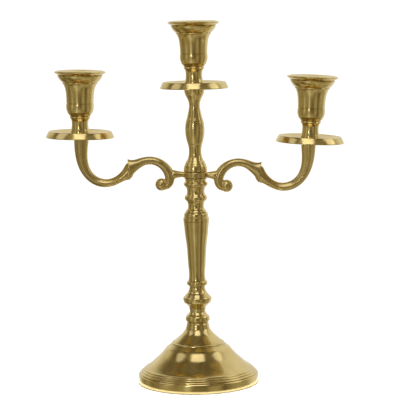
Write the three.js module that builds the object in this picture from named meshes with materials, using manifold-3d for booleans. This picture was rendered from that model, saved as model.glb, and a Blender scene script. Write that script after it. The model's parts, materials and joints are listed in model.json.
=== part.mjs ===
// Three-light tabletop candelabra in polished brass.
//
// Turned pieces are stacked on one steel rod: a hollow base, foot ring, knop, tapered shaft
// and collar, then one casting with two S-shaped arms, then the upper stem. A washer, a
// split lock washer and a nut under the base pull the stack together. Each of the three
// drip pans lies on a seat and is held there by a candle cup that screws onto a short stud.
//
// Millimetres, +Z up. The origin is at the centre of the base's underside, and the arms
// lie along X. Threads are drawn as plain cylinders.

import * as THREE from 'three';
import { mergeVertices } from 'three/addons/utils/BufferGeometryUtils.js';
import Module from 'manifold-3d';

// --- Driving dimensions ---------------------------------------------------------------

// Fits
const FACE_GAP = 0.3; // between two faces that bear on each other
const THREAD_RADIUS = 3; // M6 rod and studs
const THREAD_CLEARANCE = 0.3; // around a thread in its hole

// Candle and its socket
const CANDLE_RADIUS = 11; // standard 22 mm dinner candle
const CANDLE_CLEARANCE = 0.4;
const SOCKET_DEPTH = 28;
const SOCKET_MOUTH = 1.2; // chamfer that leads the candle in

// Candle cup
const CUP_HEIGHT = 63.6;
const CUP_LIP_RADIUS = 26;
const CUP_LIP_DISH = 3; // how far the lip's top slopes down to the socket
const CUP_CROWN_RADIUS = 19.5; // where the lip's top is highest
const CUP_CROWN_WIDTH = 1; // flat on top of the crown
const CUP_WALL = 2.4; // at the waist, around the socket
const CUP_NECK_RADIUS = 8.3;
const CUP_FOOT_RADIUS = 9.4;

// Drip pan
const PAN_RADIUS = 34.5;
const PAN_HEIGHT = 6.6;
const PAN_FLOOR = 4;
const PAN_RIM_LEAN = 2.8; // how far the rim's top edge stands in from its bottom edge
const PAN_RIM_WIDTH = 1.5;
const PAN_FLAT_RADIUS = 21; // the dish slopes gently down to this flat middle

// Base
const BASE_RADIUS = 61.5;
const BASE_HEIGHT = 61;
const BASE_WALL = 3.4;
const BASE_BOSS = 17; // solid metal at the top of the base, which the nut pulls on

// Turned pieces of the stem, from the base up
const FOOT_RING_RADIUS = 12.3;
const FOOT_RING_HEIGHT = 15;
const KNOP_RADIUS = 14.5;
const KNOP_HEIGHT = 22.1;
const SHAFT_RADIUS = 13.1;
const SHAFT_HEIGHT = 75.8;
const COLLAR_RADIUS = 12.2;
const COLLAR_HEIGHT = 34.8;
const UPPER_STEM_RADIUS = 12;
const UPPER_STEM_HEIGHT = 83.8;

// Arm casting
const HUB_RADIUS = 12;
const HUB_THICKNESS = 6.1;
const ARM_REACH = 116.2; // column axis to cup axis
const ARM_RISE = 34.9; // middle of the hub to the arm's seat
const ARM_THICKNESS = 8.8; // seen from the front, at the top of the arch
const ARM_DEPTH = 9.2; // front to back, at the top of the arch
const ARM_DEPTH_GAIN = 0.55; // how much of an extra thickness the depth takes up
const ARM_LEAN = 2; // degrees: the casting is bent, so that its left end stands higher
const ARM_SPLAY = 0.9; // degrees: how far each arm's end lets its light lean outwards
const SCROLL_KNOB_RADIUS = 6.6;
const LEAF_ROOT_RADIUS = 4.8; // the leaf tip on top of the arm
const SPUR_ROOT_RADIUS = 4; // the smaller one under it

// Fasteners
const STUD_GRIP = 11; // length of a stud inside each piece that it joins
const ROD_GRIP = 26; // length of the rod inside the upper stem
const ROD_TAIL = 3; // length of the rod below the nut
const NUT_ACROSS_FLATS = 10;
const NUT_THICKNESS = 5;
const WASHER_RADIUS = 9;
const WASHER_THICKNESS = 1.6;
const LOCK_WASHER_RADIUS = 5.4;
const LOCK_WASHER_SPLIT = 1.2;
const LOCK_WASHER_SLANT = 20; // degrees: how far the split leans

// Number of flat sides that stand for a round one
const BASE_SIDES = 36;
const PAN_SIDES = 28;
const TURNED_SIDES = 20;
const THREAD_SIDES = 12;
const ARM_SIDES = 10;
const ARM_STEPS = 36;
const BAR_STEPS = 6;

// --- Materials ------------------------------------------------------------------------

const metal = (color, roughness) => new THREE.MeshStandardMaterial({ color, roughness, metalness: 1 });
const polishedBrass = metal(0xa88f4d, 0.2);
const castBrass = metal(0xa38a4a, 0.3);
const zincPlatedSteel = metal(0x9a9b9d, 0.4);

// --- Solids ---------------------------------------------------------------------------

const wasm = await Module();
wasm.setup();

// A closed mesh as a solid that can be cut and joined.
function solidOf(geometry) {
  const bare = geometry.clone();
  bare.deleteAttribute('normal');
  bare.deleteAttribute('uv');
  const merged = mergeVertices(bare, 1e-4);
  const corners = merged.index.array;
  const triangles = [];
  for (let i = 0; i < corners.length; i += 3) {
    const [a, b, c] = [corners[i], corners[i + 1], corners[i + 2]];
    const hasArea = a !== b && b !== c && c !== a;
    if (hasArea) triangles.push(a, b, c);
  }
  return new wasm.Manifold(new wasm.Mesh({
    numProp: 3,
    vertProperties: new Float32Array(merged.attributes.position.array),
    triVerts: new Uint32Array(triangles),
  }));
}

function geometryOf(solid) {
  const mesh = solid.getMesh();
  const geometry = new THREE.BufferGeometry();
  geometry.setAttribute('position', new THREE.BufferAttribute(mesh.vertProperties, 3));
  geometry.setIndex(new THREE.BufferAttribute(mesh.triVerts, 1));
  geometry.computeVertexNormals();
  return geometry;
}

// A solid of revolution about Z from [radius, height] points that run up its outside.
// With a bore it is a ring, and without one its profile starts and ends on the axis.
function turned(outline, sides, bore = 0) {
  const [bottom, top] = [outline[0][1], outline[outline.length - 1][1]];
  const profile = [[bore, bottom], ...outline, [bore, top]];
  if (bore > 0) profile.push([bore, bottom]);
  const points = profile.map(([radius, height]) => new THREE.Vector2(radius, height));
  return new THREE.LatheGeometry(points, sides).rotateX(Math.PI / 2);
}

// A turned outline from shares of the piece's own largest radius and of its own height.
const outlineOf = (shape, radius, height) => shape.map(([r, h]) => [r * radius, h * height]);

function cylinder(radius, from, to, sides) {
  return turned([[radius, from], [radius, to]], sides);
}

const threadHole = THREAD_RADIUS + THREAD_CLEARANCE;
const CUT_PAST = 1; // how far a cut runs past the face that it opens through

// A hole for a thread, from one height to another along Z.
const threadHoleCut = (from, to) => solidOf(cylinder(threadHole, from, to, THREAD_SIDES));

const object = new THREE.Group();

function add(parent, name, geometry, material) {
  const mesh = new THREE.Mesh(geometry, material);
  mesh.name = name;
  parent.add(mesh);
  return mesh;
}

// --- Heights of the stack -------------------------------------------------------------

const footRingZ = BASE_HEIGHT + FACE_GAP;
const knopZ = footRingZ + FOOT_RING_HEIGHT + FACE_GAP;
const shaftZ = knopZ + KNOP_HEIGHT + FACE_GAP;
const collarZ = shaftZ + SHAFT_HEIGHT + FACE_GAP;
const hubZ = collarZ + COLLAR_HEIGHT + FACE_GAP;
const upperStemZ = hubZ + HUB_THICKNESS + FACE_GAP;
const centreSeatZ = upperStemZ + UPPER_STEM_HEIGHT;
const hubMiddleZ = hubZ + HUB_THICKNESS / 2;
const armSeatZ = hubMiddleZ + ARM_RISE;

// --- Base: a thin dome, stepped at its edge, with a boss for the rod ------------------

const baseShape = [
  [0.988, 0], [1, 0.02], [0.994, 0.15],
  [0.972, 0.158], [0.972, 0.172], [0.945, 0.19],
  [0.944, 0.204], [0.912, 0.222],
  [0.91, 0.236], [0.862, 0.262],
  [0.8, 0.305], [0.728, 0.37], [0.652, 0.44], [0.587, 0.514], [0.478, 0.62], [0.437, 0.656],
  [0.428, 0.678], [0.405, 0.682], [0.34, 0.742], [0.293, 0.786], [0.228, 0.857], [0.195, 0.93],
  [0.182, 0.985], [0.172, 1],
];

// Points of the dome's outside, set in by the wall, that shape its inside.
const hollowShape = [[1, 0], [0.99, 0.11], [0.87, 0.25], [0.728, 0.362], [0.587, 0.514], [0.48, 0.62]];

function setIn(points, distance) {
  return points.map(([radius, height], i) => {
    const before = points[Math.max(i - 1, 0)];
    const after = points[Math.min(i + 1, points.length - 1)];
    const along = new THREE.Vector2(after[0] - before[0], after[1] - before[1]).normalize();
    return [radius - along.y * distance, height + along.x * distance];
  });
}

const bossZ = BASE_HEIGHT - BASE_BOSS;

function baseGeometry() {
  const outside = outlineOf(baseShape, BASE_RADIUS, BASE_HEIGHT);
  const inside = setIn(outlineOf(hollowShape, BASE_RADIUS, BASE_HEIGHT), BASE_WALL);
  inside[0][1] = -CUT_PAST; // the hollow opens through the underside
  const last = inside[inside.length - 1];
  const roof = [last[0] - (bossZ - last[1]), bossZ];
  const hollow = turned([...inside, roof], BASE_SIDES);
  const shell = turned(outside, BASE_SIDES, threadHole);
  return geometryOf(solidOf(shell).subtract(solidOf(hollow)));
}

add(object, 'base', baseGeometry(), polishedBrass);

// --- Stem: turned pieces with a clearance hole for the rod ----------------------------

const footRingShape = [
  [0.837, 0], [0.837, 0.055], [0.96, 0.11], [1, 0.19], [1, 0.33], [0.955, 0.45],
  [0.86, 0.53], [0.73, 0.63], [0.65, 0.74], [0.64, 0.86], [0.67, 1],
];

const knopShape = [
  [0.575, 0], [0.6, 0.06], [0.72, 0.14], [0.88, 0.24], [0.965, 0.33], [1, 0.4], [0.995, 0.5],
  [0.93, 0.53], [0.91, 0.56], [0.76, 0.62], [0.66, 0.74], [0.58, 0.85], [0.545, 0.94], [0.55, 1],
];

const shaftShape = [
  [0.61, 0], [0.62, 0.012], [0.77, 0.022], [0.8, 0.042], [0.79, 0.068], [0.68, 0.084],
  [0.635, 0.11], [0.62, 0.15], [0.65, 0.23], [0.69, 0.32], [0.735, 0.42], [0.79, 0.53],
  [0.845, 0.64], [0.89, 0.72], [0.935, 0.785], [0.96, 0.83], [0.99, 0.848], [1, 0.885],
  [1, 0.925], [0.955, 0.94], [0.93, 0.965], [0.9, 0.985], [0.85, 1],
];

const collarShape = [
  [0.8, 0], [0.76, 0.05], [0.68, 0.1], [0.652, 0.19], [0.68, 0.28], [0.76, 0.33], [0.87, 0.365],
  [0.92, 0.41], [0.915, 0.45], [0.85, 0.485], [0.765, 0.52], [0.73, 0.57], [0.74, 0.66],
  [0.79, 0.72], [0.83, 0.755], [0.95, 0.785], [1, 0.82], [1, 0.855], [0.94, 0.885], [0.93, 1],
];

const turnedPieces = [
  ['foot_ring', footRingShape, FOOT_RING_RADIUS, FOOT_RING_HEIGHT, footRingZ],
  ['knop', knopShape, KNOP_RADIUS, KNOP_HEIGHT, knopZ],
  ['shaft', shaftShape, SHAFT_RADIUS, SHAFT_HEIGHT, shaftZ],
  ['collar', collarShape, COLLAR_RADIUS, COLLAR_HEIGHT, collarZ],
];
for (const [name, shape, radius, height, z] of turnedPieces) {
  const piece = turned(outlineOf(shape, radius, height), TURNED_SIDES, threadHole);
  add(object, name, piece, polishedBrass).position.z = z;
}

// --- Upper stem: a vase that holds the rod's top end and the centre cup's stud --------

const upperStemShape = [
  [1, 0], [1, 0.045], [0.96, 0.07], [0.87, 0.098], [0.84, 0.102], [0.84, 0.112], [0.77, 0.13],
  [0.67, 0.155], [0.58, 0.19], [0.53, 0.235], [0.52, 0.275], [0.56, 0.31], [0.62, 0.34],
  [0.7, 0.38], [0.77, 0.43], [0.81, 0.48], [0.82, 0.53], [0.8, 0.575], [0.77, 0.61],
  [0.72, 0.635], [0.62, 0.675], [0.53, 0.715], [0.47, 0.76], [0.45, 0.81], [0.475, 0.85],
  [0.56, 0.89], [0.65, 0.92], [0.76, 0.95], [0.83, 0.98], [0.85, 1],
];

function upperStemGeometry() {
  const vase = turned(outlineOf(upperStemShape, UPPER_STEM_RADIUS, UPPER_STEM_HEIGHT), TURNED_SIDES);
  const rodHole = threadHoleCut(-CUT_PAST, ROD_GRIP + THREAD_CLEARANCE);
  const studHoleZ = UPPER_STEM_HEIGHT - STUD_GRIP - THREAD_CLEARANCE;
  const studHole = threadHoleCut(studHoleZ, UPPER_STEM_HEIGHT + CUT_PAST);
  return geometryOf(solidOf(vase).subtract(rodHole).subtract(studHole));
}

add(object, 'upper_stem', upperStemGeometry(), polishedBrass).position.z = upperStemZ;

// --- Rod and its nut under the base ---------------------------------------------------

const washerZ = bossZ - FACE_GAP - WASHER_THICKNESS;
const lockWasherZ = washerZ - FACE_GAP - WASHER_THICKNESS;
const nutZ = lockWasherZ - FACE_GAP - NUT_THICKNESS;

function ring(outerRadius, thickness, sides) {
  return turned([[outerRadius, 0], [outerRadius, thickness]], sides, threadHole);
}

function lockWasherGeometry() {
  const split = new THREE.BoxGeometry(2 * LOCK_WASHER_RADIUS, LOCK_WASHER_SPLIT, 3 * WASHER_THICKNESS);
  split.rotateX(THREE.MathUtils.degToRad(LOCK_WASHER_SLANT));
  split.translate(LOCK_WASHER_RADIUS, 0, WASHER_THICKNESS / 2);
  const whole = ring(LOCK_WASHER_RADIUS, WASHER_THICKNESS, TURNED_SIDES);
  return geometryOf(solidOf(whole).subtract(solidOf(split)));
}

function nutGeometry() {
  const acrossCorners = NUT_ACROSS_FLATS / Math.cos(Math.PI / 6);
  const hexagon = cylinder(acrossCorners / 2, 0, NUT_THICKNESS, 6);
  const hole = threadHoleCut(-CUT_PAST, NUT_THICKNESS + CUT_PAST);
  return geometryOf(solidOf(hexagon).subtract(hole));
}

const rod = cylinder(THREAD_RADIUS, nutZ - ROD_TAIL, upperStemZ + ROD_GRIP, THREAD_SIDES);
const washer = ring(WASHER_RADIUS, WASHER_THICKNESS, TURNED_SIDES);
add(object, 'tie_rod', rod, zincPlatedSteel);
add(object, 'base_washer', washer, zincPlatedSteel).position.z = washerZ;
add(object, 'lock_washer', lockWasherGeometry(), zincPlatedSteel).position.z = lockWasherZ;
add(object, 'base_nut', nutGeometry(), zincPlatedSteel).position.z = nutZ;

// --- Arm casting: a hub ring with two S-shaped arms, mirrored left and right ----------

// The middle of the arm, from the scroll's knob, up over the arch, down round the U and up
// to the seat: [share of the reach, share of the rise, thickness as a share of the arch's].
const armRoute = [
  [0.28, -0.3, 1.25], [0.222, -0.22, 1.3], [0.205, -0.04, 1.46], [0.228, 0.13, 1.3],
  [0.265, 0.25, 1.12], [0.38, 0.4, 1.02], [0.5, 0.29, 1.04], [0.55, 0.16, 1.24],
  [0.587, 0.01, 1.2],
  [0.632, -0.125, 1.05], [0.69, -0.24, 1.05], [0.768, -0.3, 1.12], [0.855, -0.23, 1.12],
  [0.914, -0.08, 1.12], [0.955, 0.135, 1.22], [0.98, 0.4, 1.4], [0.987, 0.67, 1.6], [0.985, 1, 1.82],
];

// The bar that joins the arm to the hub ring, in the same way, but its first share is of the
// length from the ring's edge to the back of the scroll.
const SCROLL_BACK = armRoute[2][0] * ARM_REACH;
const barRoute = [
  [-0.43, 0, 0.5], [-0.03, 0, 0.55], [0.145, 0.01, 0.76], [0.51, 0.02, 0.9], [1, 0.07, 1.3],
];

// A closed bar along a curve in the XZ plane, with a rounded section that changes in size.
function castBar(route, steps, start, length) {
  const stations = route.map(([along, up, share]) => (
    new THREE.Vector3(start + along * length, share * ARM_THICKNESS / 2, up * ARM_RISE)));
  const curve = new THREE.CatmullRomCurve3(stations, false, 'centripetal');
  const bar = new THREE.CylinderGeometry(1, 1, 1, ARM_SIDES, steps);
  const corners = bar.attributes.position;
  for (let i = 0; i < corners.count; i += 1) {
    const t = corners.getY(i) + 0.5;
    const [across, front] = [corners.getX(i), corners.getZ(i)];
    const middle = curve.getPoint(t);
    const halfThickness = middle.y;
    const halfDepth = ARM_DEPTH / 2 + ARM_DEPTH_GAIN * (halfThickness - ARM_THICKNESS / 2);
    const along = curve.getTangent(t).setY(0).normalize();
    const x = middle.x + along.z * across * halfThickness;
    const z = middle.z - along.x * across * halfThickness;
    corners.setXYZ(i, x, -front * halfDepth, z);
  }
  return solidOf(bar);
}

// A pointed leaf tip on the arm, from its root to its tip, both as shares like the route's.
function leafTip(root, tip, radius) {
  const [from, to] = [root, tip].map(([along, up]) => (
    new THREE.Vector3(along * ARM_REACH, 0, up * ARM_RISE)));
  const cone = new THREE.ConeGeometry(radius, from.distanceTo(to), ARM_SIDES);
  const turn = new THREE.Quaternion().setFromUnitVectors(
    new THREE.Vector3(0, 1, 0), to.clone().sub(from).normalize());
  cone.applyQuaternion(turn);
  const middle = from.add(to).multiplyScalar(0.5);
  return solidOf(cone.translate(middle.x, 0, middle.z));
}

function oneArm() {
  const knob = new THREE.SphereGeometry(SCROLL_KNOB_RADIUS, ARM_SIDES, ARM_SIDES - 2);
  knob.translate(armRoute[0][0] * ARM_REACH, 0, armRoute[0][1] * ARM_RISE);
  const studHole = threadHoleCut(ARM_RISE - STUD_GRIP - THREAD_CLEARANCE, ARM_RISE + CUT_PAST)
    .translate([ARM_REACH, 0, 0]);
  return castBar(armRoute, ARM_STEPS, 0, ARM_REACH)
    .add(castBar(barRoute, BAR_STEPS, HUB_RADIUS, SCROLL_BACK - HUB_RADIUS))
    .add(solidOf(knob))
    .add(leafTip([0.55, 0.08], [0.581, 0.42], LEAF_ROOT_RADIUS))
    .add(leafTip([0.575, 0.07], [0.556, -0.21], SPUR_ROOT_RADIUS))
    .subtract(studHole);
}

// The whole casting leans about the point on the column axis at the height of the seats.
const castingFrame = new THREE.Group();
castingFrame.position.z = armSeatZ;
castingFrame.rotation.y = THREE.MathUtils.degToRad(ARM_LEAN);
object.add(castingFrame);

function armCastingGeometry() {
  const right = oneArm();
  const left = right.mirror([1, 0, 0]);
  const arms = geometryOf(right.add(left)).translate(0, 0, -ARM_RISE);
  castingFrame.updateMatrix();
  arms.applyMatrix4(castingFrame.matrix);
  const hub = cylinder(HUB_RADIUS, hubZ, hubZ + HUB_THICKNESS, TURNED_SIDES);
  const hole = threadHoleCut(hubZ - HUB_THICKNESS, hubZ + 2 * HUB_THICKNESS);
  return geometryOf(solidOf(arms).add(solidOf(hub)).subtract(hole));
}

add(object, 'arm_casting', armCastingGeometry(), castBrass);

// --- Drip pan: a shallow dish with a sloping rim --------------------------------------

const panRimRadius = PAN_RADIUS - PAN_RIM_LEAN;
const dishWidth = panRimRadius - PAN_RIM_WIDTH - PAN_FLAT_RADIUS;
const dishDepth = PAN_HEIGHT - PAN_FLOOR;

function panGeometry() {
  const outline = [
    [PAN_RADIUS - 0.6, 0],
    [PAN_RADIUS, 0.6],
    [PAN_RADIUS - 0.2, 1.4],
    [panRimRadius, PAN_HEIGHT - 0.2],
    [panRimRadius - 0.4, PAN_HEIGHT],
    [panRimRadius - PAN_RIM_WIDTH, PAN_HEIGHT],
    [PAN_FLAT_RADIUS + 0.65 * dishWidth, PAN_FLOOR + 0.45 * dishDepth],
    [PAN_FLAT_RADIUS + 0.35 * dishWidth, PAN_FLOOR + 0.15 * dishDepth],
    [PAN_FLAT_RADIUS, PAN_FLOOR],
  ];
  return turned(outline, PAN_SIDES, threadHole);
}

// --- Candle cup: a bell with a wide lip, a socket for the candle and a tapped foot ----

const socketRadius = CANDLE_RADIUS + CANDLE_CLEARANCE;
const cupWaistRadius = socketRadius + CUP_WALL;

// Shares of the step from the waist's radius out to the lip's, and of the cup's height. The lip
// is widest a little below its crown.
const bellShape = [
  [0, 0.53], [0.015, 0.6], [0.06, 0.68], [0.1, 0.725], [0.16, 0.76], [0.24, 0.79], [0.28, 0.805],
  [0.35, 0.822], [0.45, 0.845], [0.54, 0.87], [0.62, 0.893], [0.72, 0.915], [0.69, 0.922],
  [0.82, 0.938], [0.93, 0.952], [1, 0.963], [0.98, 0.972], [0.88, 0.984], [0.7, 0.995],
];

function cupGeometry() {
  const bulb = [
    [CUP_FOOT_RADIUS, 0], [CUP_FOOT_RADIUS, 0.05], [CUP_NECK_RADIUS + 0.35, 0.09],
    [CUP_NECK_RADIUS, 0.14], [CUP_NECK_RADIUS + 0.05, 0.185], [CUP_NECK_RADIUS + 0.5, 0.22],
    [CUP_NECK_RADIUS + 1.1, 0.25], [CUP_NECK_RADIUS + 2.2, 0.268], [CUP_NECK_RADIUS + 2.1, 0.29],
    [cupWaistRadius - 2.6, 0.31], [cupWaistRadius - 0.9, 0.355], [cupWaistRadius + 0.05, 0.41],
    [cupWaistRadius + 0.2, 0.445], [cupWaistRadius + 0.05, 0.47], [cupWaistRadius - 0.25, 0.478],
  ];
  const bell = bellShape.map(([share, height]) => (
    [cupWaistRadius + share * (CUP_LIP_RADIUS - cupWaistRadius), height]));
  const crown = [CUP_CROWN_RADIUS, 1];
  const outside = [...bulb, ...bell, crown].map(([radius, height]) => [radius, height * CUP_HEIGHT]);
  const mouthZ = CUP_HEIGHT - CUP_LIP_DISH;
  const inside = [
    [socketRadius, CUP_HEIGHT - SOCKET_DEPTH],
    [socketRadius, mouthZ - SOCKET_MOUTH],
    [socketRadius + SOCKET_MOUTH, mouthZ],
    [CUP_CROWN_RADIUS - CUP_CROWN_WIDTH, CUP_HEIGHT],
    [CUP_CROWN_RADIUS - CUP_CROWN_WIDTH, CUP_HEIGHT + CUT_PAST],
  ];
  const tappedHole = threadHoleCut(-CUT_PAST, STUD_GRIP + THREAD_CLEARANCE);
  return geometryOf(solidOf(turned(outside, TURNED_SIDES))
    .subtract(solidOf(turned(inside, TURNED_SIDES)))
    .subtract(tappedHole));
}

// --- Three lights: a stud, a pan and a cup on each seat -------------------------------

const panLift = FACE_GAP;
const cupLift = panLift + PAN_FLOOR + FACE_GAP;

function addLight(side, parent, x, z, splay) {
  const seat = new THREE.Group();
  seat.position.set(x, 0, z);
  seat.rotation.y = THREE.MathUtils.degToRad(splay);
  parent.add(seat);
  const stud = cylinder(THREAD_RADIUS, -STUD_GRIP, cupLift + STUD_GRIP, THREAD_SIDES);
  add(seat, `${side}_stud`, stud, zincPlatedSteel);
  add(seat, `${side}_pan`, panGeometry(), polishedBrass).position.z = panLift;
  add(seat, `${side}_cup`, cupGeometry(), polishedBrass).position.z = cupLift;
}

addLight('centre', object, 0, centreSeatZ, 0);
addLight('left', castingFrame, -ARM_REACH, 0, -ARM_SPLAY);
addLight('right', castingFrame, ARM_REACH, 0, ARM_SPLAY);

export default object;
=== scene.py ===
# A three-light candelabra for a table, in polished brass and 369 mm high. Turned pieces are
# stacked on a steel rod over a hollow base. One casting holds the two S-shaped arms, and each
# light is a drip pan held on its seat by a candle cup that screws onto a stud.

import json
import math

import bpy
from mathutils import Matrix, Quaternion, Vector


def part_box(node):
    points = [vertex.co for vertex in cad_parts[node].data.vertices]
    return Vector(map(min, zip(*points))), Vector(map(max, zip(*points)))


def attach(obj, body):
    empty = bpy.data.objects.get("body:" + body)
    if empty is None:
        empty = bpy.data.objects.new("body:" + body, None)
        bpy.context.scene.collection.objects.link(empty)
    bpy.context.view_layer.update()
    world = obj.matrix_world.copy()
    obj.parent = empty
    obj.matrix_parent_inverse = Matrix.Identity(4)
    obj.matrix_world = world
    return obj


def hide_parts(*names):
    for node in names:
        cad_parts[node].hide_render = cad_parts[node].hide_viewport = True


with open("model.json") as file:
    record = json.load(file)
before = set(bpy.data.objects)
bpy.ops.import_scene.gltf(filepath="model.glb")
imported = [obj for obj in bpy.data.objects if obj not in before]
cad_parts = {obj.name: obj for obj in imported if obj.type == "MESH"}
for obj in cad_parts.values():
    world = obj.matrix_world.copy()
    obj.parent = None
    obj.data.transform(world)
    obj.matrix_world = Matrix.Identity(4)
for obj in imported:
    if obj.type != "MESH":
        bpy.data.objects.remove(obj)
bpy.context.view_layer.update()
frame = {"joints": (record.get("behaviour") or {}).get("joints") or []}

# --- Camera ---------------------------------------------------------------------------
# The stand is seen from just above its top cup, 1.7 m in front of it, through a long lens,
# so that its upright lines hardly lean together.

MM = 0.001
eye = Vector((11.2, -1707, 388)) * MM
aim = Vector((11.2, 0, 180)) * MM
camera_roll = math.radians(-0.826)

bpy.ops.object.camera_add(location=eye)
camera = bpy.context.object
camera.name = "camera"
camera.data.lens = 147.1
camera.rotation_mode = "QUATERNION"
level = (aim - eye).to_track_quat("-Z", "Y")
camera.rotation_quaternion = level @ Quaternion((0, 0, 1), camera_roll)
bpy.context.scene.camera = camera

# --- Studio ---------------------------------------------------------------------------
# A studio table for shiny metal: a small round of pale paper under the stand, a white backdrop
# for the camera, and soft boxes in a dim room, because polished brass shows nothing but what is
# round it.


def linear(hex_colour):
    """An sRGB hex colour as the linear colour that a shader takes."""
    channels = [int(hex_colour[i:i + 2], 16) / 255 for i in (1, 3, 5)]
    lit = [c / 12.92 if c <= 0.04045 else ((c + 0.055) / 1.055) ** 2.4 for c in channels]
    return (*lit, 1.0)


def add_node(tree, kind, inputs=None, **settings):
    """Adds a node to a tree, sets its settings, and sets or links each of its inputs."""
    added = tree.nodes.new(kind)
    for setting, value in settings.items():
        setattr(added, setting, value)
    for socket, value in (inputs or {}).items():
        if isinstance(value, bpy.types.NodeSocket):
            tree.links.new(value, added.inputs[socket])
        else:
            added.inputs[socket].default_value = value
    return added


def new_material(name):
    """An empty material and its node tree."""
    material = bpy.data.materials.new(name)
    material.use_nodes = True
    material.node_tree.nodes.clear()
    return material, material.node_tree


bpy.context.scene.view_settings.view_transform = "Standard"
bpy.context.scene.view_settings.look = "None"

PAPER_RADIUS = 0.07
PAPER_DROP = 0.3 * MM
bpy.ops.mesh.primitive_circle_add(
    vertices=96, radius=PAPER_RADIUS, fill_type="NGON", location=(0, 0, -PAPER_DROP))
floor = bpy.context.object
floor.name = "floor"
pale_paper, tree = new_material("pale_paper")
paper = add_node(tree, "ShaderNodeBsdfDiffuse", {"Color": linear("#f2f2f0")})
add_node(tree, "ShaderNodeOutputMaterial", {"Surface": paper.outputs["BSDF"]})
floor.data.materials.append(pale_paper)

# The room is dim, warm and patchy, with a dark ceiling, and a pale wall behind the stand and a
# little to the right.
world = bpy.data.worlds.new("studio")
world.use_nodes = True
world.node_tree.nodes.clear()
bpy.context.scene.world = world
tree = world.node_tree
direction = add_node(tree, "ShaderNodeTexCoord")
upright = add_node(tree, "ShaderNodeVectorMath", {
    0: direction.outputs["Generated"], 1: (1, 1, 0.45)}, operation="MULTIPLY")
furniture = add_node(tree, "ShaderNodeTexNoise", {
    "Vector": upright.outputs["Vector"], "W": 1.5, "Scale": 1.7, "Detail": 1.0, "Distortion": 0.4},
    noise_dimensions="4D")
room = add_node(tree, "ShaderNodeValToRGB", {"Fac": furniture.outputs["Fac"]})
room.color_ramp.elements[0].position = 0.38
room.color_ramp.elements[0].color = linear("#6b6149")
room.color_ramp.elements[1].position = 0.66
room.color_ramp.elements[1].color = linear("#cfccbd")
for position, colour in ((0.46, "#8f8668"), (0.56, "#a39b7e")):
    room.color_ramp.elements.new(position).color = linear(colour)
towards_wall = add_node(tree, "ShaderNodeVectorMath", {
    0: direction.outputs["Generated"], 1: (0.25, 1, 0.1)}, operation="DOT_PRODUCT")
wall_edge = add_node(tree, "ShaderNodeMapRange", {
    "Value": towards_wall.outputs["Value"], "From Min": 0.42, "From Max": 0.78})
room_and_wall = add_node(tree, "ShaderNodeMix", {
    "Factor": wall_edge.outputs["Result"], "A": room.outputs["Color"], "B": linear("#e2dfd6")},
    data_type="RGBA")
height = add_node(tree, "ShaderNodeSeparateXYZ", {"Vector": direction.outputs["Generated"]})
ceiling_edge = add_node(tree, "ShaderNodeMapRange", {
    "Value": height.outputs["Z"], "From Min": 0.86, "From Max": 0.97, "To Max": 0.85})
whole_room = add_node(tree, "ShaderNodeMix", {
    "Factor": ceiling_edge.outputs["Result"], "A": room_and_wall.outputs[2],
    "B": linear("#54492f")}, data_type="RGBA")
dim_room = add_node(tree, "ShaderNodeBackground", {"Color": whole_room.outputs[2], "Strength": 1.0})
backdrop = add_node(tree, "ShaderNodeBackground", {"Color": linear("#ffffff"), "Strength": 1.1})
ray = add_node(tree, "ShaderNodeLightPath")
seen = add_node(tree, "ShaderNodeMixShader", {
    "Fac": ray.outputs["Is Camera Ray"], 1: dim_room.outputs["Background"],
    2: backdrop.outputs["Background"]})
add_node(tree, "ShaderNodeOutputWorld", {"Surface": seen.outputs["Shader"]})

# Each light: where it stands and the point that it faces, in metres, its width and height, its
# power, and whether it shows in the metal. The table light only whitens the floor.
studio_lights = {
    "window_box": ((-0.05, -1.0, 1.5), (0, 0, 0.2), 0.95, 1.1, 3.3, True),
    "right_box": ((1.5, -0.15, 1.2), (0, 0, 0.2), 0.9, 1.2, 2.2, True),
    "left_box": ((-1.3, -0.3, 1.3), (0, 0, 0.2), 0.8, 0.9, 1.2, True),
    "lamp": ((-0.6, -1.6, 0.55), (0, 0, 0.3), 0.1, 0.34, 0.75, True),
    "table_light": ((0, 0, 1.8), (0, 0, 0), 1.6, 1.6, 60, False),
}
for name, (place, target, width, height, watts, shows) in studio_lights.items():
    bpy.ops.object.light_add(type="AREA", location=place)
    light = bpy.context.object
    light.name = name
    light.data.shape = "RECTANGLE"
    light.data.size = width
    light.data.size_y = height
    light.data.energy = watts
    light.visible_glossy = shows
    light.rotation_mode = "QUATERNION"
    light.rotation_quaternion = (Vector(target) - Vector(place)).to_track_quat("-Z", "Y")

# --- Base -----------------------------------------------------------------------------
# A hollow brass casting, turned and polished outside and left rough inside. Three steps run
# round its edge, a fine raised line crosses the dome, and the neck flares up to the stem.

EDGE = True  # marks an outline point where the curve breaks
SEAM = 0.002 * MM  # corners closer than this are joined


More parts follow.
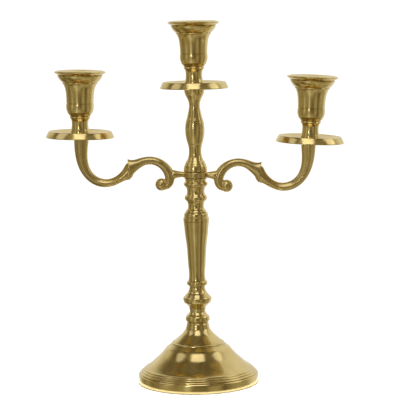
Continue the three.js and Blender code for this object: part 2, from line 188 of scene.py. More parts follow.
def spun(name, outline, sides=96, smooth_steps=5):
    """Draws an outline of (radius, height) points in mm, curved except at its edges, and spins it."""
    bpy.ops.object.select_all(action="DESELECT")
    bpy.ops.curve.primitive_bezier_curve_add()
    line = bpy.context.object
    line.name = name
    points = line.data.splines[0].bezier_points
    points.add(len(outline) - len(points))
    for point, (radius, height, *edge) in zip(points, outline):
        point.co = (radius * MM, 0, height * MM)
        kind = "VECTOR" if edge else "AUTO"
        point.handle_left_type = kind
        point.handle_right_type = kind
    line.data.resolution_u = smooth_steps
    bpy.ops.object.convert(target="MESH")
    bpy.ops.object.mode_set(mode="EDIT")
    bpy.ops.mesh.select_all(action="SELECT")
    bpy.ops.mesh.dissolve_limited(angle_limit=math.radians(0.4))
    bpy.ops.mesh.select_all(action="SELECT")
    bpy.ops.mesh.spin(steps=sides, angle=math.tau, center=(0, 0, 0), axis=(0, 0, 1))
    bpy.ops.mesh.select_all(action="SELECT")
    bpy.ops.mesh.remove_doubles(threshold=SEAM)
    bpy.ops.mesh.normals_make_consistent(inside=False)
    bpy.ops.object.mode_set(mode="OBJECT")
    bpy.ops.object.shade_smooth_by_angle(angle=math.radians(32))
    return bpy.context.object


def stand(piece, foot, axis=Vector((0, 0, 1))):
    """Puts an upright piece's foot at a place, points it along an axis, and settles it there."""
    bpy.ops.object.select_all(action="DESELECT")
    piece.select_set(True)
    bpy.context.view_layer.objects.active = piece
    piece.rotation_mode = "QUATERNION"
    piece.rotation_quaternion = Vector((0, 0, 1)).rotation_difference(axis)
    piece.location = foot
    bpy.ops.object.transform_apply(location=True, rotation=True, scale=True)


def stand_for(piece, node, body, slot, *materials):
    """Lets a piece stand for a CAD node on its body, in the materials given; the slot is not used."""
    for material in materials:
        piece.data.materials.append(material)
    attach(piece, body)
    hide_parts(node)


def polished_brass(name, foot=Vector((0, 0, 0)), lean=0.0):
    """Turned and buffed brass, lacquered: a deep mirror with faint rings from the lathe, a
    slow wave from the buffing wheel, and brown polish left in the grooves."""
    material, tree = new_material(name)
    place = add_node(tree, "ShaderNodeTexCoord")
    upright = add_node(tree, "ShaderNodeMapping", {
        "Vector": place.outputs["Object"], "Location": foot, "Rotation": (0, lean, 0)},
        vector_type="TEXTURE")
    flat = add_node(tree, "ShaderNodeVectorMath", {
        0: upright.outputs["Vector"], 1: (1, 1, 0)}, operation="MULTIPLY")
    radius = add_node(tree, "ShaderNodeVectorMath", {0: flat.outputs["Vector"]}, operation="LENGTH")
    height = add_node(tree, "ShaderNodeSeparateXYZ", {"Vector": upright.outputs["Vector"]})
    ring = add_node(tree, "ShaderNodeCombineXYZ", {"X": radius.outputs["Value"], "Y": height.outputs["Z"]})
    # Lathe rings are 0.1 mm apart, and are drawn 0.6 mm apart so that they show.
    lathe_rings = add_node(tree, "ShaderNodeTexNoise", {
        "Vector": ring.outputs["Vector"], "Scale": 1 / (0.6 * MM), "Detail": 3.0},
        noise_dimensions="2D")
    buffing = add_node(tree, "ShaderNodeTexNoise", {
        "Vector": place.outputs["Object"], "Scale": 1 / (14 * MM), "Detail": 2.0})
    scuffs = add_node(tree, "ShaderNodeTexNoise", {
        "Vector": place.outputs["Object"], "Scale": 1 / (5 * MM), "Detail": 6.0, "Roughness": 0.65})
    rings_bump = add_node(tree, "ShaderNodeBump", {
        "Strength": 0.07, "Distance": 0.02 * MM, "Height": lathe_rings.outputs["Fac"]})
    wave_bump = add_node(tree, "ShaderNodeBump", {
        "Strength": 0.4, "Distance": 0.06 * MM, "Height": buffing.outputs["Fac"],
        "Normal": rings_bump.outputs["Normal"]})
    gloss = add_node(tree, "ShaderNodeMapRange", {
        "Value": scuffs.outputs["Fac"], "From Min": 0.3, "From Max": 0.75, "To Min": 0.11,
        "To Max": 0.24})
    metal = add_node(tree, "ShaderNodeValToRGB", {"Fac": buffing.outputs["Fac"]})
    metal.color_ramp.elements[0].position = 0.3
    metal.color_ramp.elements[0].color = linear("#e4cc8c")
    metal.color_ramp.elements[1].position = 0.7
    metal.color_ramp.elements[1].color = linear("#efdb9f")
    shape = add_node(tree, "ShaderNodeNewGeometry")
    hollow = add_node(tree, "ShaderNodeMapRange", {
        "Value": shape.outputs["Pointiness"], "From Min": 0.42, "From Max": 0.49, "To Min": 1.6,
        "To Max": 0.0})
    grime = add_node(tree, "ShaderNodeMath", {
        0: hollow.outputs["Result"], 1: scuffs.outputs["Fac"]}, operation="MULTIPLY")
    colour = add_node(tree, "ShaderNodeMix", {
        "Factor": grime.outputs["Value"], "A": metal.outputs["Color"], "B": linear("#4a3a12")},
        data_type="RGBA")
    surface = add_node(tree, "ShaderNodeBsdfPrincipled", {
        "Base Color": colour.outputs[2], "Metallic": 1.0, "Roughness": gloss.outputs["Result"],
        "Normal": wave_bump.outputs["Normal"]})
    add_node(tree, "ShaderNodeOutputMaterial", {"Surface": surface.outputs["BSDF"]})
    return material


brass = polished_brass("polished_brass")


def rough_brass():
    """Sand-cast brass as it left the mould: dull, brown and grainy."""
    material, tree = new_material("sand_cast_brass")
    place = add_node(tree, "ShaderNodeTexCoord")
    sand = add_node(tree, "ShaderNodeTexNoise", {
        "Vector": place.outputs["Object"], "Scale": 1 / (0.9 * MM), "Detail": 4.0})
    stain = add_node(tree, "ShaderNodeTexNoise", {
        "Vector": place.outputs["Object"], "Scale": 1 / (12 * MM), "Detail": 4.0})
    colour = add_node(tree, "ShaderNodeValToRGB", {"Fac": stain.outputs["Fac"]})
    colour.color_ramp.elements[0].position = 0.35
    colour.color_ramp.elements[0].color = linear("#6b5528")
    colour.color_ramp.elements[1].position = 0.7
    colour.color_ramp.elements[1].color = linear("#a08648")
    grain = add_node(tree, "ShaderNodeBump", {
        "Strength": 0.6, "Distance": 0.25 * MM, "Height": sand.outputs["Fac"]})
    surface = add_node(tree, "ShaderNodeBsdfPrincipled", {
        "Base Color": colour.outputs["Color"], "Metallic": 1.0, "Roughness": 0.52,
        "Normal": grain.outputs["Normal"]})
    add_node(tree, "ShaderNodeOutputMaterial", {"Surface": surface.outputs["BSDF"]})
    return material


BORE = 3.3  # radius of the hole for the rod, in mm
base_outline = [
    (BORE, 44, EDGE), (18.5, 44), (27.1, 35.4), (33.7, 29), (42.5, 19.6), (51.1, 12.8), (57.4, 5.1),
    (58.1, 0, EDGE), (60.9, 0, EDGE), (61.35, 0.35), (61.5, 1.2, EDGE), (61.4, 5.4), (61.1, 8.4),
    (60.5, 9.4, EDGE), (59.6, 9.55, EDGE), (59.7, 10.2), (59.1, 11.1), (58.3, 11.6, EDGE),
    (57.7, 11.7, EDGE), (57.7, 12.2), (57, 13.1), (56.3, 13.5, EDGE), (55.7, 13.6, EDGE), (55.6, 14.1),
    (54.9, 14.9), (54.1, 15.3, EDGE), (53.6, 15.5), (49.2, 18.6), (44.8, 22.6), (39.8, 27), (35.9, 31.4),
    (32.4, 35.6), (29.4, 38), (26.9, 40, EDGE), (26.8, 40.5, EDGE), (26.6, 41.1), (25.9, 41.5, EDGE),
    (25, 41.5, EDGE), (24.1, 42.4), (21, 45.2), (18, 47.9), (16, 49.8), (14.1, 52.1), (12.7, 54.2),
    (12, 56), (11.5, 58.4), (11.1, 60.4, EDGE), (10.7, 61, EDGE), (BORE, 61, EDGE), (BORE, 44, EDGE),
]
base = spun("base_casting", base_outline, sides=128)
RIM_TOP = 5 * MM  # above this, what faces down is inside the hollow
for face in base.data.polygons:
    away = Vector((face.center.x, face.center.y, 0)).normalized()
    inside = face.normal.dot(away) < -0.1 or (face.normal.z < -0.5 and face.center.z > RIM_TOP)
    face.material_index = 1 if inside else 0
stand_for(base, "base", "stem", "polished_brass", brass, rough_brass())

# --- Stem -----------------------------------------------------------------------------
# Four pieces of turned brass bar, each drilled through for the rod and seated on the one
# below: a foot ring, a round knop, the long tapered shaft, and a collar with two beads.

foot_ring_outline = [
    (10.7, 0, EDGE), (10.9, 0.4), (10.6, 0.8, EDGE), (10.9, 1.1), (10.7, 1.5, EDGE), (11.9, 2.1),
    (12.3, 3.2), (12.25, 4.4), (12, 6), (11.5, 7, EDGE), (11.2, 7.15, EDGE), (10.2, 8.1), (8.6, 10.1),
    (7.95, 11.8), (8.1, 13.3), (8.4, 14.3), (8.3, 15, EDGE),
]
knop_outline = [
    (8.2, 0, EDGE), (8.5, 0.5, EDGE), (9.3, 1.9), (10.5, 3.1), (12.5, 5), (12.9, 5.2, EDGE),
    (13.5, 5.7, EDGE), (14.1, 7.2), (14.5, 8.9), (14.4, 10.5), (13.9, 11.4, EDGE), (13.3, 11.6, EDGE),
    (12.5, 12.6), (10.9, 14.6), (9.75, 15.8), (8.8, 17.8), (8.1, 20), (7.85, 21.4), (7.9, 22.1, EDGE),
]
shaft_outline = [
    (8, 0, EDGE), (8.1, 0.9, EDGE), (9.9, 1.4), (10.45, 2.5), (10.5, 3.6), (10.2, 4.7), (9.2, 5.5, EDGE),
    (8.9, 5.8, EDGE), (8.4, 8.3), (8.15, 12), (8.4, 17), (8.8, 21), (9.1, 26), (9.5, 33), (9.9, 39),
    (10.5, 45), (11.2, 50), (11.9, 56), (12.4, 61.5), (12.85, 65), (13, 66.6, EDGE), (12.6, 66.9, EDGE),
    (13.05, 67.3, EDGE), (13.1, 69.4), (13, 70.5, EDGE), (12.45, 70.9, EDGE), (12.5, 71.7, EDGE),
    (12.25, 72, EDGE), (12.1, 73.9), (11.7, 75.2), (11.4, 75.8, EDGE),
]
collar_outline = [
    (10.2, 0, EDGE), (10.6, 0.5), (10.4, 1.2), (9.3, 2.7), (8.35, 3.9), (7.95, 6.6), (8.4, 9.4), (9.4, 11.3),
    (9.9, 11.9, EDGE), (10.4, 12.1, EDGE), (11.1, 13.2), (11.4, 14.6), (11.2, 15.9), (10.6, 17, EDGE),
    (10, 17.2, EDGE), (9.3, 18.4), (8.9, 20.4), (9, 23), (9.5, 25, EDGE), (9.9, 25.2, EDGE),
    (10.1, 25.8, EDGE), (10.4, 26, EDGE), (11.6, 27.2), (12.2, 28.6), (12, 29.8), (11.2, 30.7, EDGE),
    (10.8, 30.9, EDGE), (10.5, 32), (10.8, 33.3), (11.3, 34, EDGE), (11.35, 34.8, EDGE),
]


def stem_piece(name, node, outline):
    """A turned and drilled piece of the stem, as high as its CAD node and standing where it does."""
    low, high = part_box(node)
    stretch = (high.z - low.z) / (outline[-1][1] * MM)
    drilled = [(BORE, 0, EDGE), *outline, (BORE, outline[-1][1], EDGE), (BORE, 0, EDGE)]
    piece = spun(name, [(radius, height * stretch, *edge) for radius, height, *edge in drilled])
    stand(piece, Vector((0, 0, low.z)))
    stand_for(piece, node, "stem", "polished_brass", brass)


stem_piece("turned_foot_ring", "foot_ring", foot_ring_outline)
stem_piece("turned_knop", "knop", knop_outline)
stem_piece("tapered_shaft", "shaft", shaft_outline)
stem_piece("beaded_collar", "collar", collar_outline)

# --- Upper stem -----------------------------------------------------------------------
# A slim vase of turned brass above the arms. It is tapped at its foot for the rod and at its
# top for the centre stud, and its top face is the centre drip pan's seat.

# The tapped holes' depths, and of those the cones that the drill leaves at their ends, in mm.
ROD_HOLE = 26.3
ROD_HOLE_CONE = 1.5
STUD_HOLE = 11.3
STUD_HOLE_CONE = 1
upper_stem_outline = [
    (11.5, 0, EDGE), (12, 0.5, EDGE), (12, 1.8), (11.7, 4), (11.1, 6.2), (10.5, 7.8, EDGE), (10, 8.1, EDGE),
    (10.1, 8.6, EDGE), (9.4, 10.1), (8.4, 11.5), (7.5, 13.4), (6.75, 15.8), (6.35, 18.6), (6.3, 21.6),
    (6.6, 24.7), (7.3, 27.2, EDGE), (7.1, 27.5, EDGE), (7.4, 27.8, EDGE), (8, 29.9), (9, 33.8), (9.55, 37),
    (9.8, 41), (9.75, 44.6), (9.35, 48.4), (8.75, 51.4, EDGE), (8.4, 51.7, EDGE), (8.5, 52, EDGE),
    (7.5, 55.3), (6.6, 59.3), (5.9, 62.6), (5.45, 66), (5.65, 68.6), (6.3, 71.4), (7.6, 74.3), (9, 77),
    (9.9, 79.6), (10.2, 82), (10.1, 83.5, EDGE),
]
low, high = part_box("upper_stem")
stem_height = (high.z - low.z) / MM
stretch = stem_height / upper_stem_outline[-1][1]
tapped = [(0, ROD_HOLE, EDGE), (BORE, ROD_HOLE - ROD_HOLE_CONE, EDGE), (BORE, 0, EDGE)]
tapped += [(radius, height * stretch, *edge) for radius, height, *edge in upper_stem_outline]
tapped += [
    (BORE, stem_height, EDGE), (BORE, stem_height - STUD_HOLE + STUD_HOLE_CONE, EDGE),
    (0, stem_height - STUD_HOLE, EDGE)]
upper_stem = spun("turned_upper_stem", tapped)
stand(upper_stem, Vector((0, 0, low.z)))
stand_for(upper_stem, "upper_stem", "stem", "polished_brass", brass)

# --- Arm casting ----------------------------------------------------------------------
# One brass casting: a ring that the rod goes through, and on each side a bar, a scroll with
# a round knob, the arch, a leaf sheath with two tips, and the bend that rises to the seat.

SECTION_SIDES = 12
# How the bend's section differs from a circle of radius 1: corners as far out as AT_RIDGE make
# the ridge and drop a little towards the bend's outside, and those beside it are flattened.
AT_RIDGE = 0.99
BESIDE_RIDGE = 0.8
RIDGE_HEIGHT = 1.14
RIDGE_DROP = 0.12
FACE_FLATNESS = 0.84
FACE_GAP = 0.3 * MM  # between the hub ring and the pieces above and below it

stud_middles = {}
for side in ("left", "centre", "right"):
    low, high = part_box(f"{side}_stud")
    stud_middles[side] = (low + high) / 2
seat_line = stud_middles["right"] - stud_middles["left"]
arm_lean = math.atan2(-seat_line.z, seat_line.x)
hub_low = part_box("collar")[1].z + FACE_GAP
hub_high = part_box("upper_stem")[0].z - FACE_GAP
hub_middle = (hub_low + hub_high) / 2


def pulled_bar(name, stations, ridged=False, crisp_end=False):
    """A bar pulled out station by station: (x, z, half thickness, half depth) in mm, and where
    the section isn't square to the way the bar goes, its heading in degrees. Each end is
    extruded, moved, turned and sized. A ridged bar has an edge along its front and its back."""
    bpy.ops.object.select_all(action="DESELECT")
    here = Vector((stations[0][0], 0, stations[0][1])) * MM
    bpy.ops.mesh.primitive_circle_add(
        vertices=SECTION_SIDES, radius=1 * MM, fill_type="NGON", location=here,
        rotation=(0, math.pi / 2, 0))
    bar = bpy.context.object
    bar.name = name
    bpy.ops.object.transform_apply(location=True, rotation=True, scale=True)
    if ridged:
        for corner in bar.data.vertices:
            if abs(corner.co.y) > AT_RIDGE * MM:
                corner.co.y *= RIDGE_HEIGHT
                corner.co.z -= RIDGE_DROP * MM
            elif abs(corner.co.y) > BESIDE_RIDGE * MM:
                corner.co.y *= FACE_FLATNESS
    bpy.ops.object.mode_set(mode="EDIT")
    bpy.ops.mesh.select_all(action="SELECT")
    last_place, last_turn, last_size = here, 0.0, (1, 1)
    for i, (x, z, thickness, depth, *given) in enumerate(stations):
        here = Vector((x, 0, z)) * MM
        before = stations[max(i - 1, 0)]
        after = stations[min(i + 1, len(stations) - 1)]
        along = math.atan2(after[1] - before[1], after[0] - before[0])
        turn = math.radians(given[0]) if given else along
        if i > 0:
            move = {"value": here - last_place}
            bpy.ops.mesh.extrude_region_move(TRANSFORM_OT_translate=move)
        change = (turn - last_turn + math.pi) % math.tau - math.pi
        thicker, deeper = thickness / last_size[0], depth / last_size[1]
        bpy.ops.transform.rotate(value=change, orient_axis="Y", center_override=here)
        bpy.ops.transform.resize(value=(thicker, deeper, thicker), center_override=here)
        last_place, last_turn, last_size = here, turn, (thickness, depth)
    if crisp_end:
        bpy.ops.transform.edge_crease(value=1)
    bpy.ops.object.mode_set(mode="OBJECT")
    return bar


# From inside the knob round the scroll, up over the arch, and out to the sheath's mouth.
scroll_and_arch = [
    (33.0, -11.4, 3.6, 3.8), (29.6, -13.1, 4.2, 4.4), (25.6, -10.6, 4.7, 4.7), (24.1, -4.6, 5.4, 4.9),
    (26.0, 2.4, 5.5, 4.9), (30.4, 8.0, 4.9, 4.7), (36.6, 12.2, 4.5, 4.5), (44.0, 13.9, 4.4, 4.4),
    (51.7, 12.8, 4.4, 4.5), (57.2, 9.8, 5.2, 4.8, -18), (61.8, 7.0, 7.0, 5.2, -8), (65.3, 4.6, 9.6, 5.6, -6),
    (66.7, 3.9, 11.6, 5.6, -7),
]
# From inside the sheath, down round the bend, and up to the drip pan's seat.
bend_and_seat = [
    (62.0, 5.0, 6.0, 4.0, -16), (66.6, 2.6, 9.2, 4.7, -16), (69.2, -0.4, 7.2, 4.8, -17),
    (71.9, -2.7, 5.3, 4.7, -22), (75.4, -5.6, 4.3, 4.5, -32), (81.6, -9.2, 4.2, 4.5),
    (88.8, -10.9, 4.5, 4.6), (95.8, -10.1, 4.7, 4.8), (102.4, -7.1, 4.8, 4.9), (107.8, -2.1, 5.0, 5.1),
    (111.7, 4.4, 5.5, 5.4), (114.2, 12.4, 6.1, 6.0), (115.1, 21.4, 6.9, 6.8), (115.0, 29.6, 7.6, 7.6),
    (114.7, 37.0, 8.1, 8.1),
]
# From inside the hub ring out to the back of the scroll.
hub_bar = [
    (6, 0, 2.8, 3.2), (12, 0, 2.9, 3.3), (16, 0, 3.5, 3.8), (19.8, -0.1, 4.5, 4.5),
    (23.6, -0.3, 5.6, 5.0),
]
KNOB = (33.0, -10.7, 6.4, 5.4)  # x, z, radius and half depth, in mm
HUB_RADIUS = 12
HUB_CHAMFER = 0.6

arm_bars = [
    pulled_bar("arch", scroll_and_arch, crisp_end=True),
    pulled_bar("bend", bend_and_seat, ridged=True),
    pulled_bar("hub_bar", hub_bar)]
x, z, radius, half_depth = KNOB
bpy.ops.mesh.primitive_uv_sphere_add(
    segments=32, ring_count=20, radius=radius * MM, location=Vector((x, 0, z)) * MM)
knob = bpy.context.object
knob.scale.y = half_depth / radius
arm_bars.append(knob)

bpy.ops.object.select_all(action="DESELECT")
for bar in arm_bars:
    bar.select_set(True)
bpy.context.view_layer.objects.active = arm_bars[0]
bpy.ops.object.transform_apply(location=True, rotation=True, scale=True)
bpy.ops.object.join()
arms = bpy.context.object
arms.name = "arm_casting_filed"


def apply_modifier(piece, kind, **settings):
    """Gives a piece one modifier with its settings and applies it."""
    bpy.ops.object.select_all(action="DESELECT")
    piece.select_set(True)
    bpy.context.view_layer.objects.active = piece
    modifier = piece.modifiers.new(kind.lower(), kind)
    for setting, value in settings.items():
        setattr(modifier, setting, value)
    bpy.ops.object.modifier_apply(modifier=modifier.name)


apply_modifier(arms, "SUBSURF", levels=2, render_levels=2)
apply_modifier(arms, "MIRROR", use_axis=(True, False, False))

# The pulled arms are level; the casting is bent a little, and turns about its seats' middle.
# A stud's middle is half the space between its two grips above the seat.
HALF_GAP = 2.3 * MM
seats_middle = (stud_middles["left"] + stud_middles["right"]) / 2
pivot_height = seats_middle.z - hub_middle - HALF_GAP
turn = Matrix.Translation((0, 0, pivot_height)) @ Matrix.Rotation(arm_lean, 4, "Y")
turn @= Matrix.Translation((0, 0, -pivot_height))
arms.data.transform(turn)

half_hub = (hub_high - hub_low) / 2 / MM
hub_ring = spun("hub_ring", [
    (0, -half_hub, EDGE), (HUB_RADIUS - HUB_CHAMFER, -half_hub, EDGE),
    (HUB_RADIUS, HUB_CHAMFER - half_hub, EDGE), (HUB_RADIUS, half_hub - HUB_CHAMFER, EDGE),
    (HUB_RADIUS - HUB_CHAMFER, half_hub, EDGE), (0, half_hub, EDGE)], sides=72)
bpy.ops.object.select_all(action="DESELECT")
hub_ring.select_set(True)
arms.select_set(True)
bpy.context.view_layer.objects.active = arms
bpy.ops.object.join()
arms.data.transform(Matrix.Translation((0, 0, hub_middle)))
# Remeshed and smoothed, the bars, the knob and the ring melt into one casting.
apply_modifier(arms, "REMESH", mode="VOXEL", voxel_size=0.4 * MM)
apply_modifier(arms, "SMOOTH", factor=0.5, iterations=12)


def cylinder_cut(piece, radius, bottom, top):
    """Bores a round hole through a piece from one point to another."""
    middle = (bottom + top) / 2
    bpy.ops.object.select_all(action="DESELECT")
    bpy.ops.mesh.primitive_cylinder_add(
        vertices=48, radius=radius, depth=(top - bottom).length, location=middle)
    drill = bpy.context.object
    drill.rotation_mode = "QUATERNION"
    drill.rotation_quaternion = Vector((0, 0, 1)).rotation_difference(top - bottom)
    apply_modifier(piece, "BOOLEAN", operation="DIFFERENCE", object=drill, solver="EXACT")
    bpy.data.objects.remove(drill)


light_axes = {"centre": Vector((0, 0, 1))}
for joint in frame["joints"]:
    if joint["name"].endswith("_cup_lift"):
        light_axes[joint["child"].removesuffix("_cup")] = Vector(joint["axis"]).normalized()
SEAT_REACH = 22 * MM  # a seat's cut takes only metal that is this near to it
PAST = 3 * MM  # how far a drill starts outside the metal
for side in ("left", "right"):
    axis = light_axes[side]
    seat = stud_middles[side] - axis * HALF_GAP
    bpy.ops.object.select_all(action="DESELECT")
    arms.select_set(True)
    bpy.context.view_layer.objects.active = arms
    bpy.ops.object.mode_set(mode="EDIT")
    bpy.ops.mesh.select_all(action="DESELECT")
    bpy.ops.object.mode_set(mode="OBJECT")
    for vertex in arms.data.vertices:
        vertex.select = (vertex.co - seat).length < SEAT_REACH
    bpy.ops.object.mode_set(mode="EDIT")
    bpy.ops.mesh.select_mode(type="VERT")
    bpy.ops.mesh.bisect(plane_co=seat, plane_no=axis, use_fill=True, clear_outer=True)
    bpy.ops.object.mode_set(mode="OBJECT")
    cylinder_cut(arms, BORE * MM, seat - axis * STUD_HOLE * MM, seat + axis * PAST)
cylinder_cut(arms, BORE * MM, Vector((0, 0, hub_low - PAST)), Vector((0, 0, hub_high + PAST)))
bpy.ops.object.shade_smooth_by_angle(angle=math.radians(40))


def filed_brass():
    """Cast brass, filed and buffed by hand: softer than the turned pieces, a little uneven,
    with traces of the file and grime in the scroll and the sheath."""
    material, tree = new_material("filed_cast_brass")
    place = add_node(tree, "ShaderNodeTexCoord")
    hand_work = add_node(tree, "ShaderNodeTexNoise", {
        "Vector": place.outputs["Object"], "Scale": 1 / (9 * MM), "Detail": 1.0})
    file_marks = add_node(tree, "ShaderNodeTexNoise", {
        "Vector": place.outputs["Object"], "Scale": 1 / (0.9 * MM), "Detail": 3.0})
    scuffs = add_node(tree, "ShaderNodeTexNoise", {
        "Vector": place.outputs["Object"], "Scale": 1 / (4 * MM), "Detail": 5.0, "Roughness": 0.6})
    marks_bump = add_node(tree, "ShaderNodeBump", {
        "Strength": 0.02, "Distance": 0.02 * MM, "Height": file_marks.outputs["Fac"]})
    hand_bump = add_node(tree, "ShaderNodeBump", {
        "Strength": 0.4, "Distance": 0.16 * MM, "Height": hand_work.outputs["Fac"],
        "Normal": marks_bump.outputs["Normal"]})
    gloss = add_node(tree, "ShaderNodeMapRange", {
        "Value": scuffs.outputs["Fac"], "From Min": 0.3, "From Max": 0.75, "To Min": 0.2,
        "To Max": 0.36})
    metal = add_node(tree, "ShaderNodeValToRGB", {"Fac": scuffs.outputs["Fac"]})
    metal.color_ramp.elements[0].position = 0.35
    metal.color_ramp.elements[0].color = linear("#dcc487")
    metal.color_ramp.elements[1].position = 0.7
    metal.color_ramp.elements[1].color = linear("#e8d39a")
    shape = add_node(tree, "ShaderNodeNewGeometry")
    hollow = add_node(tree, "ShaderNodeMapRange", {
        "Value": shape.outputs["Pointiness"], "From Min": 0.42, "From Max": 0.49, "To Min": 1.0,
        "To Max": 0.0})
    grime = add_node(tree, "ShaderNodeMath", {
        0: hollow.outputs["Result"], 1: scuffs.outputs["Fac"]}, operation="MULTIPLY")
    colour = add_node(tree, "ShaderNodeMix", {
        "Factor": grime.outputs["Value"], "A": metal.outputs["Color"], "B": linear("#4a3a12")},
        data_type="RGBA")
    surface = add_node(tree, "ShaderNodeBsdfPrincipled", {
        "Base Color": colour.outputs[2], "Metallic": 1.0, "Roughness": gloss.outputs["Result"],
        "Normal": hand_bump.outputs["Normal"]})
    add_node(tree, "ShaderNodeOutputMaterial", {"Surface": surface.outputs["BSDF"]})
    return material


stand_for(arms, "arm_casting", "arms", "cast_brass", filed_brass())

# --- Rod, nut and washers -------------------------------------------------------------
# A zinc-plated M6 rod runs up through the whole stack. Under the base's boss a flat washer, a
# split spring washer and a nut draw it tight, and only its threaded tail shows below the nut.

# An M6 thread, in mm: its pitch, its radii, and the chamfer and plain start at each end.
PITCH = 1.0
THREAD_RADIUS = 3.0
THREAD_ROOT = 2.5
END_CHAMFER = 0.3
PLAIN_START = 0.5
ROD_THREAD = 24  # length of the thread at each end of the rod


def zinc_plate():
    """Bright zinc on mild steel: grey, a little blue and yellow in patches, and half dull."""
    material, tree = new_material("zinc_plated_steel")
    place = add_node(tree, "ShaderNodeTexCoord")
    spangle = add_node(tree, "ShaderNodeTexNoise", {
        "Vector": place.outputs["Object"], "Scale": 1 / (3 * MM), "Detail": 4.0})
    scratches = add_node(tree, "ShaderNodeTexNoise", {
        "Vector": place.outputs["Object"], "Scale": 1 / (0.5 * MM), "Detail": 2.0})
    colour = add_node(tree, "ShaderNodeValToRGB", {"Fac": spangle.outputs["Fac"]})
    colour.color_ramp.elements[0].position = 0.35
    colour.color_ramp.elements[0].color = linear("#b3b7bd")
    colour.color_ramp.elements[1].position = 0.7
    colour.color_ramp.elements[1].color = linear("#cdc9b6")
    gloss = add_node(tree, "ShaderNodeMapRange", {
        "Value": spangle.outputs["Fac"], "To Min": 0.28, "To Max": 0.48})
    bump = add_node(tree, "ShaderNodeBump", {
        "Strength": 0.2, "Distance": 0.03 * MM, "Height": scratches.outputs["Fac"]})
    surface = add_node(tree, "ShaderNodeBsdfPrincipled", {
        "Base Color": colour.outputs["Color"], "Metallic": 1.0, "Roughness": gloss.outputs["Result"],
        "Normal": bump.outputs["Normal"]})
    add_node(tree, "ShaderNodeOutputMaterial", {"Surface": surface.outputs["BSDF"]})
    return material


zinc = zinc_plate()


def threaded_outline(length, threaded):
    """The outline of a rod with chamfered ends and a thread on each end's stretch, in mm."""
    outline = [(0, 0, EDGE), (THREAD_ROOT - END_CHAMFER, 0, EDGE)]
    turns = int(threaded / PITCH)
    for start in (PLAIN_START, length - PLAIN_START - turns * PITCH):
        for i in range(turns):
            foot = start + i * PITCH
            outline += [(THREAD_ROOT, foot, EDGE), (THREAD_RADIUS, foot + 0.4 * PITCH, EDGE),
                        (THREAD_RADIUS, foot + 0.6 * PITCH, EDGE)]
        outline.append((THREAD_ROOT, start + turns * PITCH, EDGE))
    return outline + [(THREAD_ROOT - END_CHAMFER, length, EDGE), (0, length, EDGE)]


low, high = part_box("tie_rod")
rod_outline = threaded_outline((high.z - low.z) / MM, ROD_THREAD)
rod = spun("threaded_rod", rod_outline, sides=32, smooth_steps=1)
stand(rod, Vector((0, 0, low.z)))
stand_for(rod, "tie_rod", "stem", "zinc_plated_steel", zinc)

low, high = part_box("base_washer")
thick = (high.z - low.z) / MM
washer = spun("flat_washer", [
    (BORE, 0, EDGE), (8.8, 0, EDGE), (9, 0.2, EDGE), (9, thick - 0.5), (8.4, thick, EDGE),
    (BORE, thick, EDGE), (BORE, 0, EDGE)], sides=64)
stand(washer, Vector((0, 0, low.z)))
stand_for(washer, "base_washer", "stem", "zinc_plated_steel", zinc)

low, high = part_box("lock_washer")
SPRING_GAP = math.radians(14)
SPRING_MIDDLE = 4.35  # radius to the middle of the wire, in mm
WIRE_WIDTH = 2.0
WIRE_HEIGHT = 1.3
WIRE_START = 0.7  # height of the wire's middle at its lower end
spring_height = (high.z - low.z) / MM
bpy.ops.object.select_all(action="DESELECT")
bpy.ops.mesh.primitive_plane_add(size=1, location=(0, 0, 0))
spring = bpy.context.object
spring.name = "split_spring_washer"
spring.scale = (WIRE_WIDTH * MM, WIRE_HEIGHT * MM, 1)
spring.rotation_euler = (math.pi / 2, 0, SPRING_GAP / 2)
start_x = math.cos(SPRING_GAP / 2) * SPRING_MIDDLE
start_y = math.sin(SPRING_GAP / 2) * SPRING_MIDDLE
spring.location = Vector((start_x, start_y, WIRE_START)) * MM
bpy.ops.object.transform_apply(location=True, rotation=True, scale=True)
rise = (spring_height - 2 * WIRE_START) * MM
apply_modifier(
    spring, "SCREW", angle=math.tau - SPRING_GAP, screw_offset=rise, steps=48, render_steps=48,
    use_merge_vertices=False)
bpy.ops.object.mode_set(mode="EDIT")
bpy.ops.mesh.select_all(action="SELECT")
bpy.ops.mesh.remove_doubles(threshold=SEAM)
bpy.ops.mesh.select_all(action="DESELECT")
bpy.ops.mesh.select_non_manifold()
bpy.ops.mesh.edge_face_add()
bpy.ops.mesh.select_all(action="SELECT")
bpy.ops.mesh.normals_make_consistent(inside=False)
bpy.ops.object.mode_set(mode="OBJECT")
bpy.ops.object.shade_smooth_by_angle(angle=math.radians(35))
stand(spring, Vector((0, 0, low.z)))
stand_for(spring, "lock_washer", "stem", "zinc_plated_steel", zinc)

low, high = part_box("base_nut")
ACROSS_FLATS = 10
nut_height = (high.z - low.z) / MM
nut_corner = ACROSS_FLATS / math.cos(math.pi / 6) / 2
bpy.ops.object.select_all(action="DESELECT")
bpy.ops.mesh.primitive_cylinder_add(
    vertices=6, radius=nut_corner * MM, depth=nut_height * MM, location=(0, 0, (low.z + high.z) / 2))
nut = bpy.context.object
nut.name = "hex_nut"
chamfer = spun("nut_chamfer", [
    (0, 0, EDGE), (4.9, 0, EDGE), (6.2, 0.75, EDGE), (6.2, nut_height - 0.75, EDGE),
    (4.9, nut_height, EDGE), (0, nut_height, EDGE)], sides=64)
stand(chamfer, Vector((0, 0, low.z)))
apply_modifier(nut, "BOOLEAN", operation="INTERSECT", object=chamfer, solver="EXACT")
bpy.data.objects.remove(chamfer)
cylinder_cut(nut, BORE * MM, Vector((0, 0, low.z - MM)), Vector((0, 0, high.z + MM)))
bpy.ops.object.select_all(action="DESELECT")
nut.select_set(True)
bpy.context.view_layer.objects.active = nut
bpy.ops.object.transform_apply(location=True, rotation=True, scale=True)
apply_modifier(
    nut, "BEVEL", width=0.15 * MM, segments=2, limit_method="ANGLE", angle_limit=math.radians(30))
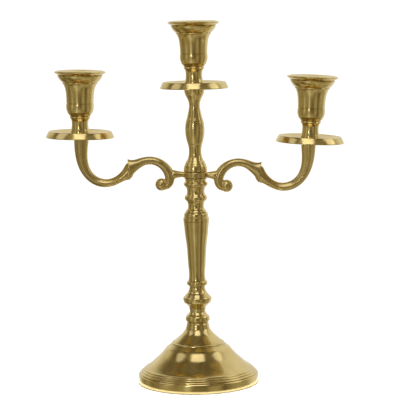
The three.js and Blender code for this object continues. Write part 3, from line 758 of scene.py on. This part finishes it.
bpy.ops.object.shade_smooth_by_angle(angle=math.radians(25))
stand_for(nut, "base_nut", "stem", "zinc_plated_steel", zinc)

# --- Three lights ---------------------------------------------------------------------
# On each seat a steel stud holds a drip pan and a candle cup. The pans and cups are turned
# brass; the cup is tapped at its foot, and its bell is bored for a 22 mm candle.

STUD_GRIP = 11  # length of a stud inside each piece that it joins, in mm
PAN_FLOOR = 4  # thickness of a pan where the cup clamps it
stud_length = 2 * STUD_GRIP + 2 * HALF_GAP / MM

pan_outline = [
    (BORE, 0, EDGE), (33.8, 0, EDGE), (34.3, 0.2), (34.5, 0.7), (34.3, 1.3, EDGE), (33.4, 3.2),
    (32.2, 5.6), (31.9, 6.2, EDGE), (31.6, 6.5), (31.1, 6.6), (30.5, 6.3, EDGE), (27.5, 5.2), (24.5, 4.4),
    (21, 4), (17, 3.9), (11, PAN_FLOOR, EDGE), (BORE, PAN_FLOOR, EDGE), (BORE, 0, EDGE),
]
drawn_cup = [
    (0, 11.9, EDGE), (BORE, 10.6, EDGE), (BORE, 0.5, EDGE), (3.8, 0, EDGE), (9.2, 0, EDGE),
    (9.4, 0.3, EDGE), (9.4, 2, EDGE), (9.1, 3.1), (8.65, 5.2), (8.35, 8), (8.35, 11), (8.7, 13.2),
    (9.5, 15.1, EDGE), (10, 15.4, EDGE), (10.4, 16), (10.2, 16.7, EDGE), (10.1, 17.1, EDGE), (10.5, 18),
    (11.3, 19), (12.4, 20.4), (13.2, 22.4), (13.8, 24.6), (14, 27.2), (13.9, 29.7, EDGE),
    (13.5, 30, EDGE), (13.5, 30.4, EDGE), (13.75, 30.7, EDGE), (13.8, 33.5), (14.05, 38.2), (14.5, 42.4),
    (15.3, 45.8), (16.2, 48.1), (17, 49.6, EDGE), (17.4, 49.8), (17.8, 50.5), (17.6, 51.1, EDGE),
    (18, 51.4, EDGE), (18.9, 52.1), (20.3, 53.7), (21.6, 55.5), (22.4, 57), (22.8, 58, EDGE),
    (22.2, 58.3, EDGE), (22.5, 58.7, EDGE), (23.9, 59.6), (25.3, 60.5), (26, 61.2), (25.8, 61.7),
    (24.6, 62.4), (22.2, 63.1), (19.5, 63.2), (16.5, 62.5), (14, 61.1), (12.6, 59.9, EDGE),
    (11.4, 58.6, EDGE), (11.4, 34.8, EDGE), (10.8, 34.2, EDGE), (0, 34.2, EDGE),
]
DRAWN_CUP_HEIGHT = 63.2
low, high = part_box("centre_cup")
cup_stretch = (high.z - low.z) / (DRAWN_CUP_HEIGHT * MM)
cup_outline = [(radius, height * cup_stretch, *edge) for radius, height, *edge in drawn_cup]

# Each part of a light is made once, and copied onto the three seats: its name, its outline, its
# sides and curve steps, and how far its foot is above the stud's middle.
light_parts = {
    "stud": ("threaded_stud", threaded_outline(stud_length, STUD_GRIP), 32, 1, -stud_length / 2 * MM),
    "pan": ("drip_pan", pan_outline, 128, 4, -PAN_FLOOR / 2 * MM),
    "cup": ("candle_cup", cup_outline, 96, 4, HALF_GAP),
}
for part, (name, outline, sides, steps, lift) in light_parts.items():
    pattern = spun(f"{name}_pattern", outline, sides, steps)
    for side, axis in light_axes.items():
        bpy.ops.object.select_all(action="DESELECT")
        pattern.select_set(True)
        bpy.context.view_layer.objects.active = pattern
        bpy.ops.object.duplicate()
        piece = bpy.context.object
        piece.name = f"{side}_{name}"
        piece.data.name = piece.name
        foot = stud_middles[side] + axis * lift
        stand(piece, foot, axis)
        if part == "stud":
            body = "stem" if side == "centre" else "arms"
            stand_for(piece, f"{side}_stud", body, "zinc_plated_steel", zinc)
        else:
            leaning_brass = polished_brass(
                f"polished_brass_{side}_{part}", foot, math.asin(axis.x))
            stand_for(piece, f"{side}_{part}", f"{side}_{part}", "polished_brass", leaning_brass)
    bpy.data.objects.remove(pattern)
